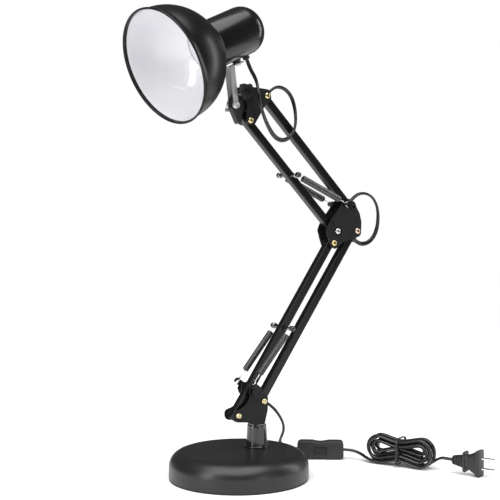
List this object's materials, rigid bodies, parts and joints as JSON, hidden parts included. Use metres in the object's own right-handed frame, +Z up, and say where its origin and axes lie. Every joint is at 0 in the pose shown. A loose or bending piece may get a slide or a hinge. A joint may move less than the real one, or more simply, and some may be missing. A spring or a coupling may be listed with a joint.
{
  "type": "desk lamp",
  "caption": "Spring-balanced desk lamp: weighted round base, swivel stem, parallelogram arms of square tube, tilting and panning bell shade, inline rocker switch and plug.",
  "frame": {"origin": "centre of the base's underside, on the table", "axes": "+Z up; the arms fold in a plane parallel to XZ through the stem's axis, the shade reaches towards -X and its tension knob faces -Y"},
  "size_m": [0.3932, 0.2569, 0.5727],
  "materials": {
    "base_paint": "satin",
    "weight_iron": "matte",
    "felt": "matte",
    "stem_gloss": "gloss",
    "bolt_steel": "satin",
    "washer_nylon": "matte",
    "bracket_black": "matte",
    "arm_black": "satin",
    "bush_black": "matte",
    "screw_bright": "polished",
    "spring_steel": "satin",
    "pin_black": "gloss",
    "block_black": "satin",
    "knob_black": "satin",
    "yoke_chrome": "polished",
    "shade_paint": "satin",
    "cap_paint": "satin",
    "holder_plastic": "satin",
    "contact_brass": "satin",
    "cord_pvc": "gloss",
    "switch_plastic": "satin",
    "plug_vinyl": "satin",
    "tie_plastic": "gloss",
    "blade_brass": "polished"
  },
  "bodies": {
    "base": {"base_shell": "base_paint", "base_weight": "weight_iron", "base_pad": "felt", "stem_post": "stem_gloss", "stem_bolt": "bolt_steel", "swivel_washer": "washer_nylon", "cord_lead": "cord_pvc", "switch_front": "switch_plastic", "switch_back": "switch_plastic", "cord_hank": "cord_pvc", "hank_tie": "tie_plastic", "plug_body": "plug_vinyl", "plug_blades": "blade_brass"},
    "swivel": {"swivel_peg": "bolt_steel", "lower_bracket": "bracket_black", "lower_spring_hooks": "bracket_black", "lower_pivot_screws": "screw_bright", "lower_spacers": "bush_black"},
    "lower_front": {"lower_front_tube": "arm_black", "lower_front_bushes": "bush_black", "lower_cross_pin": "pin_black", "lower_spring_near": "spring_steel", "lower_spring_far": "spring_steel"},
    "lower_back": {"lower_back_tube": "arm_black", "lower_back_bushes": "bush_black", "cord_lower_run": "cord_pvc"},
    "elbow": {"elbow_plate_near": "bracket_black", "elbow_plate_far": "bracket_black", "elbow_spacer": "bracket_black", "elbow_screws": "screw_bright", "elbow_spacers": "bush_black", "elbow_spring_studs": "pin_black"},
    "upper_front": {"upper_front_tube": "arm_black", "upper_front_bushes": "bush_black", "upper_cross_pin": "pin_black", "upper_spring_near": "spring_steel", "upper_spring_far": "spring_steel"},
    "upper_back": {"upper_back_tube": "arm_black", "upper_back_bushes": "bush_black", "cord_upper_run": "cord_pvc", "cord_elbow": "cord_pvc"},
    "top_bracket": {"top_plate_near": "bracket_black", "top_plate_far": "bracket_black", "head_block": "block_black", "top_screws": "screw_bright", "top_spacers": "bush_black", "knob_bolt": "bolt_steel", "cord_head": "cord_pvc"},
    "knob": {"tension_knob": "knob_black"},
    "yoke": {"yoke": "yoke_chrome", "yoke_bolt": "yoke_chrome", "pan_rivet": "yoke_chrome"},
    "wing": {"wing_nut": "yoke_chrome"},
    "head": {"shade": "shade_paint", "shade_cap": "cap_paint", "lampholder": "holder_plastic", "socket_shell": "contact_brass", "cord_grommet": "bush_black"},
    "rocker": {"switch_rocker": "switch_plastic"}
  },
  "joints": [
    {"name": "base_swivel", "type": "hinge", "parent": "base", "child": "swivel", "pos_m": [0.0306, 0.0074, 0.0617], "axis": [0, 0, 1], "range_deg": [-90, 90], "deforming": ["cord_lead"]},
    {"name": "lower_arm", "type": "hinge", "parent": "swivel", "child": "lower_back", "pos_m": [0.03481, 0.0074, 0.09047], "axis": [0, -1, 0], "range_deg": [-17, 44]},
    {"name": "lower_front_pivot", "type": "hinge", "parent": "swivel", "child": "lower_front", "pos_m": [-0.0018, 0.0074, 0.0759], "axis": [0, -1, 0], "range_deg": [-17, 44], "deforming": ["lower_spring_near", "lower_spring_far"]},
    {"name": "elbow_level", "type": "hinge", "parent": "lower_back", "child": "elbow", "pos_m": [0.17658, 0.0074, 0.29675], "axis": [0, -1, 0], "range_deg": [-44, 17]},
    {"name": "upper_arm", "type": "hinge", "parent": "elbow", "child": "upper_back", "pos_m": [0.1696, 0.0074, 0.32749], "axis": [0, -1, 0], "range_deg": [-40, 55], "deforming": ["cord_elbow"]},
    {"name": "upper_front_pivot", "type": "hinge", "parent": "elbow", "child": "upper_front", "pos_m": [0.14567, 0.0074, 0.29708], "axis": [0, -1, 0], "range_deg": [-40, 55], "deforming": ["upper_spring_near", "upper_spring_far"]},
    {"name": "top_level", "type": "hinge", "parent": "upper_back", "child": "top_bracket", "pos_m": [0.04054, 0.0074, 0.4635], "axis": [0, -1, 0], "range_deg": [-55, 40]},
    {"name": "knob_turn", "type": "hinge", "parent": "top_bracket", "child": "knob", "pos_m": [0.0079, 0.0074, 0.4674], "axis": [0, -1, 0], "range_deg": [-180, 180]},
    {"name": "head_tilt", "type": "hinge", "parent": "top_bracket", "child": "yoke", "pos_m": [-0.0005, 0.0074, 0.4513], "axis": [0, -1, 0], "range_deg": [-13, 66], "deforming": ["cord_head"]},
    {"name": "wing_nut_turn", "type": "hinge", "parent": "yoke", "child": "wing", "pos_m": [-0.0005, 0.0074, 0.4513], "axis": [0, 1, 0], "range_deg": [-180, 180]},
    {"name": "head_pan", "type": "hinge", "parent": "yoke", "child": "head", "pos_m": [0.0033, 0.0074, 0.5048], "axis": [-0.4003, 0, 0.9164], "range_deg": [-50, 66]},
    {"name": "rocker_switch", "type": "hinge", "parent": "base", "child": "rocker", "pos_m": [0.13971, 0.0267, 0.012], "axis": [0, 0, 1], "range_deg": [0, 7]}
  ],
  "couplings": [
    {"joint": "lower_front_pivot", "follows": "lower_arm", "ratio": 1},
    {"joint": "elbow_level", "follows": "lower_arm", "ratio": -1},
    {"joint": "upper_front_pivot", "follows": "upper_arm", "ratio": 1},
    {"joint": "top_level", "follows": "upper_arm", "ratio": -1}
  ]
}
